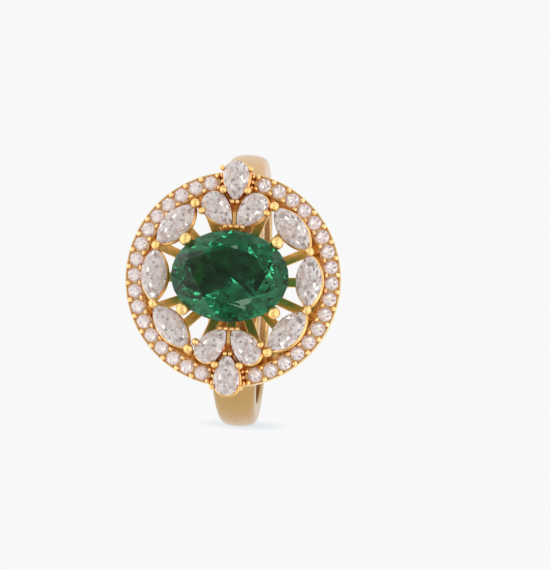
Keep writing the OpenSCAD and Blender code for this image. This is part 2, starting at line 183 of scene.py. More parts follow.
def tube(name, rings, closed=False):
    """Joins rings of points, each with the same count, into one closed skin."""
    count = len(rings[0])
    vertices = [point for ring in rings for point in ring]
    faces = []
    for i in range(len(rings) if closed else len(rings) - 1):
        a, b = i * count, (i + 1) % len(rings) * count
        for k in range(count):
            m = (k + 1) % count
            faces.append((a + k, a + m, b + m, b + k))
    if not closed:
        faces.append(tuple(range(count - 1, -1, -1)))
        faces.append(tuple(range(len(vertices) - count, len(vertices))))
    return new_object(name, vertices, faces)


def loft(name, kind, length, width, section, steps):
    """A closed band that follows an outline. section lists (grow, z) round its cross-section."""
    rings = []
    for i in range(steps):
        turn = 2 * math.pi * i / steps
        ring = []
        for grow, z in section:
            x, y = outline(kind, length, width, turn, grow)
            ring.append((x, y, z))
        rings.append(ring)
    return tube(name, rings, closed=True)


def lathe(name, profile, steps):
    """Turns a profile of (radius, z) about Z. It starts and ends on the axis."""
    vertices = [(0, 0, profile[0][1])]
    inner = profile[1:-1]
    last = 1 + (len(inner) - 1) * steps
    for r, z in inner:
        for i in range(steps):
            a = 2 * math.pi * i / steps
            vertices.append((r * math.cos(a), r * math.sin(a), z))
    vertices.append((0, 0, profile[-1][1]))
    faces = []
    for i in range(steps):
        k = (i + 1) % steps
        faces.append((0, 1 + k, 1 + i))
        faces.append((len(vertices) - 1, last + i, last + k))
        for row in range(len(inner) - 1):
            a, b = 1 + row * steps, 1 + (row + 1) * steps
            faces.append((a + i, a + k, b + k, b + i))
    return new_object(name, vertices, faces)


def rounded_box(half_u, half_v, radius, arc_steps=4):
    """Corner-rounded rectangle as a list of (u, v), counter-clockwise."""
    points = []
    for quarter, (su, sv) in enumerate([(1, 1), (-1, 1), (-1, -1), (1, -1)]):
        for k in range(arc_steps + 1):
            a = math.pi / 2 * (quarter + k / arc_steps)
            points.append((
                su * (half_u - radius) + radius * math.cos(a),
                sv * (half_v - radius) + radius * math.sin(a),
            ))
    return points


def placed(obj, matrix):
    """Moves an object's points, so that its origin stays at the ring's."""
    obj.data.transform(matrix)
    return obj


def joined(name, objects):
    """One object that holds the meshes of several."""
    work = bmesh.new()
    for obj in objects:
        work.from_mesh(obj.data)
        discard(obj)
    mesh = bpy.data.meshes.new(name)
    work.to_mesh(mesh)
    work.free()
    obj = bpy.data.objects.new(name, mesh)
    bpy.context.scene.collection.objects.link(obj)
    return obj


def discard(obj):
    """Removes an object, and its mesh when nothing else uses it."""
    mesh = obj.data
    bpy.data.objects.remove(obj)
    if mesh.users == 0:
        bpy.data.meshes.remove(mesh)


def combined(obj, tool, operation):
    """Applies one exact solid operation to obj and removes the tool."""
    modifier = obj.modifiers.new("solid", "BOOLEAN")
    modifier.object = tool
    modifier.operation = operation
    modifier.solver = "MANIFOLD"
    graph = bpy.context.evaluated_depsgraph_get()
    result = bpy.data.meshes.new_from_object(obj.evaluated_get(graph))
    obj.modifiers.clear()
    old = obj.data
    obj.data = result
    bpy.data.meshes.remove(old)
    discard(tool)
    return obj


def union(name, objects):
    """Fuses several objects into the first, one after the other."""
    first, *rest = objects
    for other in rest:
        combined(first, other, "UNION")
    first.name = name
    first.data.name = name
    return first


# ---- Materials ------------------------------------------------------------------------

# A Mix node's colour sockets, which share their names with its number and vector sockets
MIX_FIRST, MIX_SECOND, MIX_RESULT = 6, 7, 2


class Nodes:
    """A short way to write the node tree of a material or of the world."""

    def __init__(self, owner):
        owner.use_nodes = True
        self.owner = owner
        self.tree = owner.node_tree
        self.tree.nodes.clear()

    def feed(self, node, place, value):
        """Links a socket to one of a node's inputs, or sets that input's own value."""
        socket = node.inputs[place]
        if isinstance(value, bpy.types.NodeSocket):
            self.tree.links.new(value, socket)
        else:
            socket.default_value = value

    def add(self, kind, settings=None, **inputs):
        """A node with its settings, and its inputs by name with _ for each space."""
        node = self.tree.nodes.new(kind)
        for key, value in (settings or {}).items():
            setattr(node, key, value)
        for key, value in inputs.items():
            self.feed(node, key.replace("_", " "), value)
        return node

    def maths(self, operation, *values):
        """The result of one operation on numbers."""
        node = self.add("ShaderNodeMath", {"operation": operation})
        for place, value in enumerate(values):
            self.feed(node, place, value)
        return node.outputs["Value"]

    def vector_maths(self, operation, *values, output="Vector"):
        """The result of one operation on vectors or colours."""
        node = self.add("ShaderNodeVectorMath", {"operation": operation})
        for place, value in enumerate(values):
            self.feed(node, place, value)
        return node.outputs[output]

    def dimmed(self, colour, amount):
        """The colour scaled by an amount."""
        node = self.add("ShaderNodeVectorMath", {"operation": "SCALE"}, Vector=colour,
                        Scale=amount)
        return node.outputs["Vector"]

    def mixed(self, factor, first, second):
        """A blend of two colours."""
        node = self.add("ShaderNodeMix", {"data_type": "RGBA"}, Factor=factor)
        self.feed(node, MIX_FIRST, first)
        self.feed(node, MIX_SECOND, second)
        return node.outputs[MIX_RESULT]

    def ramp(self, factor, *stops):
        """A colour for each value of factor, from stops of (place, colour)."""
        node = self.add("ShaderNodeValToRGB", Fac=factor)
        elements = node.color_ramp.elements
        while len(elements) < len(stops):
            elements.new(0.5)
        for element, (place, colour) in zip(elements, stops):
            element.position = place
            element.color = (*colour, 1)
        return node.outputs["Color"]

    def spread(self, value, low, high, from_low=0.35, from_high=0.65):
        """A value moved to a new range. Unless told, it starts from the range of noise."""
        node = self.add("ShaderNodeMapRange", Value=value, From_Min=from_low,
                        From_Max=from_high, To_Min=low, To_Max=high)
        return node.outputs["Result"]

    def noise(self, vector, scale, detail=3.0, roughness=0.55):
        """Smooth noise, mostly between 0.35 and 0.65."""
        node = self.add("ShaderNodeTexNoise", Vector=vector, Scale=scale, Detail=detail,
                        Roughness=roughness)
        return node.outputs["Fac"]

    def small_facets(self, vector, scale, tilt):
        """The surface's direction, tilted at random in each small cell, and a random value per
        cell, which the stones use for painted sparkle.
        """
        cells = self.add("ShaderNodeTexVoronoi", Vector=vector, Scale=scale)
        surface = self.add("ShaderNodeNewGeometry")
        lean = self.vector_maths("MULTIPLY_ADD", cells.outputs["Color"], 3 * (tilt,),
                                 3 * (-tilt / 2,))
        leaning = self.vector_maths("ADD", surface.outputs["Normal"], lean)
        # A random value per cell, which picks a dark or a bright colour: painted sparkle
        painted_sparkle = self.add("ShaderNodeSeparateXYZ", Vector=cells.outputs["Color"])
        return self.vector_maths("NORMALIZE", leaning), painted_sparkle.outputs["X"]

    def painted_dark_glints(self, vector, scale, size, depth):
        """Painted dark reflections: a few small round spots where a stone's colour is dimmed."""
        cells = self.add("ShaderNodeTexVoronoi", Vector=vector, Scale=scale)
        return self.spread(cells.outputs["Distance"], depth, 1.0, 0.7 * size, size)

    def in_mm(self, stretch=(1, 1, 1)):
        """Object coordinates in millimetres, times stretch along each axis."""
        where = self.add("ShaderNodeTexCoord").outputs["Object"]
        node = self.add("ShaderNodeMapping", Vector=where, Scale=[s / MM for s in stretch])
        return node.outputs["Vector"]

    def finish(self, shader):
        """The finished material."""
        self.add("ShaderNodeOutputMaterial", Surface=shader)
        return self.owner


# Painted shade in recesses: its colour, and how near another surface has to be
RECESS_PAINTED_SHADE, PAINTED_SHADE_REACH = (0.64, 0.17, 0.015), 0.7 * MM
# Polishing streaks run along X: their scale on each axis, and their share of the bump
STREAK_STRETCH, STREAK_SHARE = (1.5, 14, 14), 0.25
BUMP_HEIGHT = 0.02 * MM


def gold(name, warm, pale, rough, scratch, painted_shade_fade=None, ripple=1.1):
    """Yellow gold: tone varies gently, recesses get a painted deep orange shade, polishing
    leaves fine streaks.

    rough is the range of its roughness, scratch the bump's strength and ripple the scale of
    the bump's slow waves. With painted_shade_fade, the tone also moves from warm to pale along
    Y between two places in mm: painted shade, darker towards -Y.
    """
    n = Nodes(bpy.data.materials.new(name))
    where = n.in_mm()
    mottle_and_painted_shade = n.noise(where, 0.9)
    # Painted shade: the tone turns darker towards -Y
    if painted_shade_fade:
        along = n.add("ShaderNodeSeparateXYZ", Vector=where)
        mottle_and_painted_shade = n.maths("ADD", mottle_and_painted_shade, n.spread(along.outputs["Y"], -0.3, 0.3, *painted_shade_fade))
    tone = n.ramp(mottle_and_painted_shade, (0.3, warm), (0.7, pale))
    # Painted shade: where another surface is near, the colour turns towards a deep orange
    open_part = n.add("ShaderNodeAmbientOcclusion", {"samples": 4}, Distance=PAINTED_SHADE_REACH)
    depth = n.spread(open_part.outputs["AO"], 1.0, 0.0, from_low=0.35, from_high=0.95)
    haze = n.spread(n.noise(where, 2.6, detail=4.0), *rough)
    streaks = n.noise(n.in_mm(STREAK_STRETCH), 1.6, detail=4.0, roughness=0.6)
    waves = n.noise(where, ripple, detail=1.0)
    height = n.maths("MULTIPLY_ADD", streaks, STREAK_SHARE, waves)
    bump = n.add("ShaderNodeBump", Height=height, Strength=scratch, Distance=BUMP_HEIGHT)
    shader = n.add("ShaderNodeBsdfPrincipled", Base_Color=n.mixed(depth, tone, (*RECESS_PAINTED_SHADE, 1)),
                   Roughness=haze, Normal=bump.outputs["Normal"], Metallic=1.0)
    return n.finish(shader.outputs["BSDF"])


# Small facets are 1.7 times as long along a stone's X as along its Y; the painted dark glints
# are few
FACET_STRETCH = (1.0, 1.7, 1.0)
GLINT_SCALE, GLINT_SIZE = 0.62, 0.10


def gem(name, tints, grain, ior, tilt, milk_with_painted_sparkle, milkiness, glow_with_painted_light, glints, shine):
    """A cut stone: clear colour, many small facets that tilt the light, and some milk.

    tints and milk_with_painted_sparkle are ramps of the clear and the cloudy colour, and
    milkiness is the cloudy share. The cloudy colour jumps at random from dark to bright between
    small facets: partly milky cloudiness, partly painted sparkle. grain is the scale of the
    small facets and tilt how far they lean. glow_with_painted_light is the strength of an
    emission in the clear part, in the last colour of the cloudy ramp: painted light, as a stone
    is no lamp.
    glints is how much of its colour a stone keeps in the middle of a painted dark glint, and
    shine the tint of the reflections.
    """
    n = Nodes(bpy.data.materials.new(name))
    where = n.in_mm(FACET_STRETCH)
    facing, painted_sparkle = n.small_facets(where, grain, tilt)
    # Painted dark reflections: a few small round spots that dim the stone's colour
    dark = n.painted_dark_glints(n.in_mm(), GLINT_SCALE, GLINT_SIZE, glints)
    haze = n.spread(n.noise(where, 6.0, detail=2.0), 0.0, 0.02)
    surface = {"Roughness": haze, "Normal": facing, "IOR": ior, "Specular_Tint": (*shine, 1)}
    tint = n.dimmed(n.ramp(n.noise(where, grain, detail=4.0, roughness=0.6), *tints), dark)
    # Painted light: the clear part glows with an emission, though a stone is no lamp
    clear = n.add("ShaderNodeBsdfPrincipled", Base_Color=tint, Transmission_Weight=1.0,
                  Emission_Color=(*milk_with_painted_sparkle[-1][1], 1), Emission_Strength=glow_with_painted_light, **surface)
    # Painted sparkle: the cloudy colour jumps from dark to bright between small cells, partly
    # the stone's milky cloudiness
    cloud_with_painted_sparkle = n.dimmed(n.ramp(painted_sparkle, *milk_with_painted_sparkle), dark)
    cloudy = n.add("ShaderNodeBsdfPrincipled", Base_Color=cloud_with_painted_sparkle, **surface)
    both = n.add("ShaderNodeMixShader", Fac=milkiness)
    n.feed(both, 1, clear.outputs["BSDF"])
    n.feed(both, 2, cloudy.outputs["BSDF"])
    return n.finish(both.outputs["Shader"])


polished = gold("gold_polished", warm=(1.0, 0.64, 0.22), pale=(1.0, 0.75, 0.33),
                rough=(0.27, 0.36), scratch=0.05)
# The satin band carries painted shade: its tone is darker towards -Y
satin = gold("gold_satin", warm=(0.55, 0.34, 0.13), pale=(0.74, 0.48, 0.24),
             rough=(0.20, 0.28), scratch=0.02, painted_shade_fade=(-11, 11))
cut_gold = gold("gold_bead_cut", warm=(1.0, 0.68, 0.26), pale=(1.0, 0.86, 0.48),
                rough=(0.20, 0.32), scratch=1.0, ripple=5.5)

# Ramps of (place, colour)
GREENS = ((0.38, (0.007, 0.12, 0.045)), (0.62, (0.018, 0.25, 0.10)))
# DEEP_GREENS and the white stones' cloudy ramps are picked at random per small cell, from dark
# to bright: partly milky cloudiness, partly painted sparkle
DEEP_GREENS = ((0.4, (0.010, 0.06, 0.02)), (0.7, (0.016, 0.10, 0.04)))
SPARKLE = ((0.30, (0.95, 0.84, 0.80)), (0.45, (1.0, 0.93, 0.90)), (0.62, (1.0, 0.97, 0.95)))
MILK_AND_PAINTED_SPARKLE = ((0.09, (0.26, 0.19, 0.19)), (0.22, (0.72, 0.55, 0.50)), (0.48, (0.92, 0.80, 0.76)),
        (0.8, (1.0, 0.99, 0.99)))
PAVE_MILK_AND_PAINTED_SPARKLE = ((0.09, (0.30, 0.24, 0.28)), (0.24, (0.72, 0.64, 0.68)), (0.48, (0.95, 0.89, 0.90)),
             (0.8, (1.0, 1.0, 1.0)))

green = gem("green_stone", tints=GREENS, grain=1.1, ior=1.58, tilt=0.05, milk_with_painted_sparkle=DEEP_GREENS,
            milkiness=0.06, glow_with_painted_light=0.0, glints=1.0, shine=(0.55, 0.68, 0.56))
white = gem("white_stone", tints=SPARKLE, grain=3.3, ior=2.1, tilt=0.75, milk_with_painted_sparkle=MILK_AND_PAINTED_SPARKLE,
            milkiness=0.48, glow_with_painted_light=0.085, glints=0.1, shine=(1.0, 0.96, 0.95))
pave_white = gem("white_stone_pave", tints=SPARKLE, grain=4.6, ior=2.1, tilt=0.85,
                 milk_with_painted_sparkle=PAVE_MILK_AND_PAINTED_SPARKLE, milkiness=0.54, glow_with_painted_light=0.30, glints=0.4, shine=(1.0, 0.97, 0.97))


def dress(obj, material, slot, *nodes):
    """Gives a finished piece its material, and ties it to the frame."""
    obj.data.materials.clear()
    obj.data.materials.append(material)
    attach(obj, "root")
    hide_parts(*nodes)
    return obj


def smooth(obj, angle=38):
    """Rounded surfaces shade smoothly; real edges stay sharp."""
    obj.data.shade_smooth()
    obj.data.set_sharp_from_angle(angle=math.radians(angle))
    return obj


# ---- Stones ---------------------------------------------------------------------------

# Where a brilliant cut's corners lie, as shares of the way out to its girdle
TABLE, STAR, LOWER = 0.58, 0.78, 0.25
# How far the pavilion stands out between its main facets, and when two facets count as one
PAVILION_BULGE, ONE_FACET = 1.04, math.radians(0.8)


def brilliant_mesh(name, kind, length, width, mains=8, table=TABLE):
    """The corner points of a brilliant cut, closed by its facets; the girdle is at z = 0."""
    crown, edge, pavilion = CROWN * width, GIRDLE * width / 2, PAVILION * width
    half = math.pi / mains
    points = []

    def ring(part, z, start, count):
        for i in range(count):
            x, y = corner(kind, length, width, start + 2 * math.pi * i / count)
            points.append((part * x, part * y, z))

    ring(table, edge + crown, 0, mains)
    ring(STAR, edge + crown * (1 - STAR * math.cos(half)) / (1 - table), half, mains)
    ring(1, edge, 0, 2 * mains)
    ring(1, 0, half / 2, 2 * mains)
    ring(1, -edge, 0, 2 * mains)
    middle = (1 + LOWER) / 2
    ring(middle, -edge - PAVILION_BULGE * pavilion * (1 - middle * math.cos(half)), 0, mains)
    ring(LOWER, -edge - pavilion * (1 - LOWER * math.cos(half)), half, mains)
    points.append((0, 0, -edge - pavilion))
    work = bmesh.new()
    for point in points:
        work.verts.new(point)
    bmesh.ops.convex_hull(work, input=work.verts)
    bmesh.ops.dissolve_limit(work, angle_limit=ONE_FACET, verts=work.verts, edges=work.edges)
    bmesh.ops.recalc_face_normals(work, faces=work.faces)
    mesh = bpy.data.meshes.new(name)
    work.to_mesh(mesh)
    work.free()
    return mesh


def stone(name, mesh, matrix, material, node):
    """One stone. Stones of a kind share a mesh, which takes its material only once."""
    obj = bpy.data.objects.new(name, mesh)
    bpy.context.scene.collection.objects.link(obj)
    obj.matrix_world = matrix
    if not mesh.materials:
        mesh.materials.append(material)
    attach(obj, "root")
    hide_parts(node)
    return obj


def turned(turn, at):
    """A turn about Z, and then a move to a place."""
    return Matrix.Translation(at) @ Matrix.Rotation(turn, 4, "Z")


def marquise_matrix(place):
    """Local X runs along the circle and local Y points at the ring's centre."""
    at = centre_of("marquise_stone_" + place)
    turn = math.atan2(at.y, at.x)
    return turned(turn + math.pi / 2, (at.x, at.y, CLUSTER_Z))


def pear_matrix(group, place):
    """Local X points at the round end, and the origin is the round end's centre."""
    low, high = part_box(f"pear_stone_{group}_{place}")
    up = 1 if group == "top" else -1
    y = high.y - PEAR_W / 2 if up > 0 else low.y + PEAR_W / 2
    if place == "outer":
        return turned(up * math.pi / 2, (0, y, CLUSTER_Z))
    side = 1 if place == "right" else -1
    x = high.x - PEAR_W / 2 if side > 0 else low.x + PEAR_W / 2
    direction = Vector((side * math.sin(PEAR_LEAN), up * math.cos(PEAR_LEAN)))
    return turned(math.atan2(direction.y, direction.x), (x, y, CLUSTER_Z))


def build_stones():
    """Every stone in its seat, in the place of its CAD node."""
    centre = brilliant_mesh("centre_stone", "oval", CENTRE_L, CENTRE_W, table=0.62)
    stone("centre_gem", centre, Matrix.Translation((0, 0, CENTRE_Z)), green,
          "centre_stone")
    marquise = brilliant_mesh("marquise_stone", "marquise", MARQUISE_L, MARQUISE_W, 12)
    for place in MARQUISES:
        stone("marquise_gem_" + place, marquise, marquise_matrix(place), white,
              "marquise_stone_" + place)
    pear = brilliant_mesh("pear_stone", "pear", PEAR_L, PEAR_W, 12)
    for group in ("top", "bottom"):
        for place in PEARS:
            stone(f"pear_gem_{group}_{place}", pear, pear_matrix(group, place), white,
                  f"pear_stone_{group}_{place}")
    round_mesh = brilliant_mesh("melee_stone", "round", MELEE_D, MELEE_D)
    for node in MELEE:
        at = centre_of(node)
        turn = math.atan2(at.y, at.x)
        at = MELEE_R * Vector((math.cos(turn), math.sin(turn)))
        stone(node.replace("melee", "melee_gem"), round_mesh,
              turned(turn, (at.x, at.y, MELEE_Z)), pave_white, node)


# ---- Band -----------------------------------------------------------------------------

BACK_HALF_W = 1.4 * MM
BAND_STEPS = 240
# The outside is domed by this much, and the band widens with this power of the height
BAND_DOME, FLARE_POWER = 0.30 * MM, 4
BAND_INNER_EDGE, BAND_OUTER_EDGE = 0.22 * MM, 0.5 * MM


def build_shank():
    """The plain band: a rounded section swept round the finger, wider towards the head."""
    bore_r = bore["dims"]["r_mm"] * MM
    outer_r = shank_high.y
    rise = shank_low.z + outer_r
    seat_z = shank_high.z
    rings = []
    for i in range(BAND_STEPS):
        a = 2 * math.pi * i / BAND_STEPS
        reach = rise * math.sin(a) + math.sqrt(outer_r**2 - (rise * math.cos(a)) ** 2)
        if math.sin(a) > 0.5:  # flat under the head
            reach = min(reach, seat_z / math.sin(a))
        height = ((bore_r + reach) / 2 * math.sin(a) - shank_low.z) / (seat_z - shank_low.z)
        half_w = BACK_HALF_W + (shank_high.x - BACK_HALF_W) * height**FLARE_POWER
        half_t = (reach - bore_r) / 2
        ring = []
        for u, v in band_section(half_w, half_t):
            dome = BAND_DOME * (u / half_w) ** 2 * (0.5 + 0.5 * v / half_t)
            r = bore_r + half_t + v - dome
            ring.append((u, r * math.cos(a), r * math.sin(a)))
        rings.append(ring)
    band = tube("band", rings, closed=True)
    dress(smooth(band, angle=60), satin, "gold", "shank")


def band_section(half_w, half_t):
    """Flat inside with eased edges, and broad soft shoulders outside."""
    arc_steps, flat_steps = 8, 12
    corners = [(1, 1, BAND_OUTER_EDGE), (-1, 1, BAND_OUTER_EDGE),
               (-1, -1, BAND_INNER_EDGE), (1, -1, BAND_INNER_EDGE)]
    points = []
    for quarter, (su, sv, radius) in enumerate(corners):
        for k in range(arc_steps + 1):
            a = math.pi / 2 * (quarter + k / arc_steps)
            points.append((su * (half_w - radius) + radius * math.cos(a),
                           sv * (half_t - radius) + radius * math.sin(a)))
        if quarter in (0, 2):
            for k in range(1, flat_steps):
                points.append((sv * (half_w - radius) * (1 - 2 * k / flat_steps), sv * half_t))
    return points


# ---- Gallery --------------------------------------------------------------------------

BASE_R, BASE_H, BASE_WALL = 2.1 * MM, 0.6 * MM, 0.8 * MM
SPOKES, SPOKE_W, SPOKE_T = 16, 0.75 * MM, 0.4 * MM
SPOKE_IN_R = BASE_R - 0.15 * MM
SPOKE_IN_Z = gallery_low.z + BASE_H - 0.05 * MM


def build_gallery():
    """The base ring on the band and the flat polished spokes that rise from it."""
    mid = BASE_WALL / 2
    section = [(u - mid, gallery_low.z + BASE_H / 2 + v)
               for u, v in rounded_box(mid, BASE_H / 2, 0.1 * MM)]
    pieces = [loft("base_ring", "round", 2 * BASE_R, 2 * BASE_R, section, steps=64)]
    for i in range(SPOKES):
        turn = Matrix.Rotation(2 * math.pi * i / SPOKES, 3, "Z")
        rings = []
        for r, z in ((SPOKE_IN_R, SPOKE_IN_Z), (HALO_INNER_R, gallery_high.z)):
            ring = []
            for u, v in rounded_box(SPOKE_W / 2, SPOKE_T / 2, 0.07 * MM, 3):
                end = math.sqrt(max(r * r - u * u, 0)) if r > SPOKE_IN_R else r
                ring.append(turn @ Vector((end, u, z - SPOKE_T / 2 + v)))
            rings.append(ring)
        pieces.append(tube("spoke", rings))
    dress(smooth(union("gallery_spokes", pieces)), polished, "gold", "gallery")


def spoke_top(r):
    """The height of the top of a spoke at a distance from the middle."""
    return SPOKE_IN_Z + ((gallery_high.z - SPOKE_IN_Z) * (r - SPOKE_IN_R)
                         / (HALO_INNER_R - SPOKE_IN_R))


# ---- Halo -----------------------------------------------------------------------------

HALO_WALL = HALO_OUTER_R - HALO_INNER_R
HALO_TOP = MELEE_Z - GIRDLE * MELEE_D / 2
# The beads' places across the rim, and their size; they reach a little below the rim's top
BEAD_IN = 0.44 * MELEE_D
BEAD_R, BEAD_H, BEAD_DEPTH = 0.235 * MM, 0.26 * MM, 0.1 * MM


def build_halo():
    """The round rim, drilled and cut for its stones, with the beads that hold them."""
    rim = loft("rim", "round", 2 * HALO_OUTER_R, 2 * HALO_OUTER_R, halo_section(), steps=320)
    seats = halo_seats()
    combined(rim, joined("beads", halo_beads()), "UNION")
    combined(rim, joined("seats", seats), "DIFFERENCE")
    rim.name = "halo_setting"
    dress(smooth(rim), cut_gold, "gold", "halo_rim")


def halo_section():
    """The rim's section as (grow, z): the foot and ledge, the inner lip, the outer lip."""
    wall, soft, ease = HALO_WALL, 0.14 * MM, 0.04 * MM
    ledge_w, ledge_z = 0.7 * MM, gallery_high.z - 0.7 * MM
    foot = [(0, halo_low.z + soft), (-ease, halo_low.z + ease),
            (-soft, halo_low.z), (soft - wall - ledge_w, halo_low.z),
            (-wall - ledge_w, halo_low.z + soft), (-wall - ledge_w, ledge_z - soft),
            (ease - wall - ledge_w, ledge_z - 0.1 * MM), (-wall, ledge_z)]
    lip_w, lip_h, round_off = 0.11 * MM, 0.09 * MM, 0.03 * MM
    lip = [(-wall, HALO_TOP + 0.5 * lip_h), (round_off - wall, HALO_TOP + lip_h),
           (lip_w - round_off - wall, HALO_TOP + lip_h), (lip_w - wall, HALO_TOP + 0.6 * lip_h),
           (lip_w + ease - wall, HALO_TOP)]
    return foot + lip + [(-wall - grow, z) for grow, z in reversed(lip)]


def halo_seats():
    """The room that each halo stone takes out of the rim."""
    seats = []
    for node in MELEE:
        at = centre_of(node)
        turn = math.atan2(at.y, at.x)
        where = turned(turn, (MELEE_R * math.cos(turn), MELEE_R * math.sin(turn), MELEE_Z))
        seats.append(placed(lathe("seat", seat_profile(), steps=40), where))
    return seats


def halo_beads():
    """Two beads between neighbouring stones, and three abreast at each end of a side.

    At an end they overlap a little, and are joined without being fused to each other.
    """
    columns = [(turn, (-BEAD_IN, BEAD_IN)) for turn in bead_turns(0.5)]
    for i, turn in enumerate(bead_turns(0.8)):
        if i % (MELEE_PER_SIDE + 1) in (0, MELEE_PER_SIDE):
            columns.append((turn, (-BEAD_IN, 0, BEAD_IN)))
    beads = []
    for turn, insets in columns:
        for inset in insets:
            r = MELEE_R + inset
            where = Matrix.Translation((r * math.cos(turn), r * math.sin(turn), HALO_TOP))
            bead = lathe("bead", dome_profile(BEAD_R, BEAD_H, BEAD_DEPTH), steps=20)
            beads.append(placed(bead, where))
    return beads


def bead_turns(beyond):
    """Places half-way between neighbouring halo stones, and one beyond each end stone.

    beyond is in steps from one stone to the next. Each side gives MELEE_PER_SIDE + 1 places in
    a row, with its two ends first and last.
    """
    turns = []
    for side, facing in (("right", 0), ("left", math.pi)):
        spots = [centre_of(n) for n in MELEE if f"_{side}_" in n]
        flip = math.cos(facing)
        angles = sorted(math.atan2(flip * at.y, flip * at.x) for at in spots)
        step = (angles[-1] - angles[0]) / (len(angles) - 1)
        turns.append(facing + angles[0] - beyond * step)
        turns += [facing + a + step / 2 for a in angles[:-1]]
        turns.append(facing + angles[-1] + beyond * step)
    return turns


def seat_profile():
    """Room for a halo stone above its seat, and the drilled hole below."""
    gap, below, above = 0.01 * MM, -3 * MM, 1 * MM
    r, edge = MELEE_D / 2 + gap, GIRDLE * MELEE_D / 2
    drill, opening = 0.28 * MELEE_D, 0.62 * r
    depth = PAVILION * MELEE_D * (1 - drill / r)
    return [(0, below), (drill, below), (drill, -edge - depth), (r, -edge), (r, edge),
            (opening, edge + CROWN * MELEE_D), (opening, above), (0, above)]


def dome_profile(radius, height, depth, steps=7):
    """A low round bead that stands height above z = 0 and reaches depth below it."""
    profile = [(0, -depth), (radius, -depth)]
    for k in range(steps):
        a = math.pi / 2 * k / steps
        profile.append((radius * math.cos(a), height * math.sin(a)))
    return profile + [(0, height)]


# ---- Centre basket --------------------------------------------------------------------

def capsule(start, end, radius, tip_radius):
    """A round wire from start to end with a ball on its end."""
    run = Vector(end) - Vector(start)
    length = run.length
    join = math.sqrt(max(tip_radius**2 - radius**2, 0))
    profile = [(0, 0), (radius, 0), (radius, length - join)]
    first, steps = math.atan2(-join, radius), 14
    for k in range(1, steps):
        a = first + (math.pi / 2 - first) * k / steps
        profile.append((tip_radius * math.cos(a), length + tip_radius * math.sin(a)))
    profile.append((0, length + tip_radius))
    obj = lathe("wire", profile, steps=32)
    rotation = run.to_track_quat("Z", "Y").to_matrix().to_4x4()
    return placed(obj, Matrix.Translation(start) @ rotation)


STONE_GAP = 0.012 * MM


def stone_room(kind, length, width, matrix):
    """The room that a stone takes out of its setting, with a little air round it."""
    mesh = brilliant_mesh("room", kind, length + 2 * STONE_GAP, width + 2 * STONE_GAP)
    obj = bpy.data.objects.new("room", mesh)
    bpy.context.scene.collection.objects.link(obj)
    return placed(obj, matrix)


def space_below(z):
    """A block under the height z, wide enough to trim anything that hangs below it."""
    half, depth = 9 * MM, 3 * MM
    square = ((-half, -half), (half, -half), (half, half), (-half, half))
    return tube("below", [[(x, y, level) for x, y in square] for level in (z - depth, z)])


FOOT_R, FOOT_WALL, FOOT_H = 2.1 * MM, 0.8 * MM, 0.4 * MM
RAIL_INSET, RAIL_W, RAIL_H = 0.55 * MM, 0.4 * MM, 0.45 * MM
CLAW_R, CLAW_TIP_R, CLAW_RISE = 0.4 * MM, 0.5 * MM, 0.12 * MM
# A claw stands at this angle, this far out as a share of the stone's edge there
CLAW_TURN, CLAW_OUT = math.radians(44.4), 1.083


def build_basket():
    """Four round claws on a foot ring, tied by the oval rail that the stone rests on."""
    foot_z = basket_low.z
    foot = [(u - FOOT_WALL / 2, foot_z + FOOT_H / 2 + v)
            for u, v in rounded_box(FOOT_WALL / 2, FOOT_H / 2, 0.08 * MM)]
    pieces = [loft("foot", "round", 2 * FOOT_R, 2 * FOOT_R, foot, steps=64)]
    drop = GIRDLE / 2 * CENTRE_W + PAVILION * 2 * RAIL_INSET + 0.03 * MM
    rail = [(u + RAIL_W / 2 - RAIL_INSET, CENTRE_Z - drop - RAIL_H / 2 + v)
            for u, v in rounded_box(RAIL_W / 2, RAIL_H / 2, 0.12 * MM)]
    pieces.append(loft("rail", "oval", CENTRE_L, CENTRE_W, rail, steps=128))
    tip = Vector(corner("oval", CENTRE_L, CENTRE_W, CLAW_TURN)) * CLAW_OUT
    start = tip.normalized() * (FOOT_R - CLAW_R)
    for sx in (-1, 1):
        for sy in (-1, 1):
            foot_end = (sx * start.x, sy * start.y, foot_z + FOOT_H / 2)
            tip_end = (sx * tip.x, sy * tip.y, CENTRE_Z + CLAW_RISE)
            pieces.append(capsule(foot_end, tip_end, CLAW_R, CLAW_TIP_R))
    basket = union("claw_basket", pieces)
    combined(basket, space_below(foot_z), "DIFFERENCE")
    where = Matrix.Translation((0, 0, CENTRE_Z))
    combined(basket, stone_room("oval", CENTRE_L, CENTRE_W, where), "DIFFERENCE")
    dress(smooth(basket), polished, "gold", "centre_basket")


# ---- Marquise and pear settings -------------------------------------------------------

COLLET_INSET, COLLET_WALL, FLANGE, LEDGE_H = 0.34 * MM, 0.28 * MM, 0.1 * MM, 0.35 * MM
COLLET_TOP = -(GIRDLE / 2 * MARQUISE_W + PAVILION * 2 * COLLET_INSET) - 0.02 * MM
COLLET_FOOT = -(GIRDLE / 2 + PAVILION) * MARQUISE_W - 0.05 * MM - LEDGE_H
LEDGE_Z = CLUSTER_Z + COLLET_FOOT + LEDGE_H / 2
POST_R = 0.35 * MM
# A prong's wire and rise, and its bead where it stands at one stone's tip or between two
PRONG_R, PRONG_RISE = 0.2 * MM, 0.1 * MM
TIP_BEAD_R, SHARED_BEAD_R, TIP_GAP = 0.39 * MM, 0.38 * MM, 0.25 * MM
PEAR_REACH = PEAR_L - PEAR_W / 2
PEAR_STEM_Z = CLUSTER_Z - 0.3 * MM


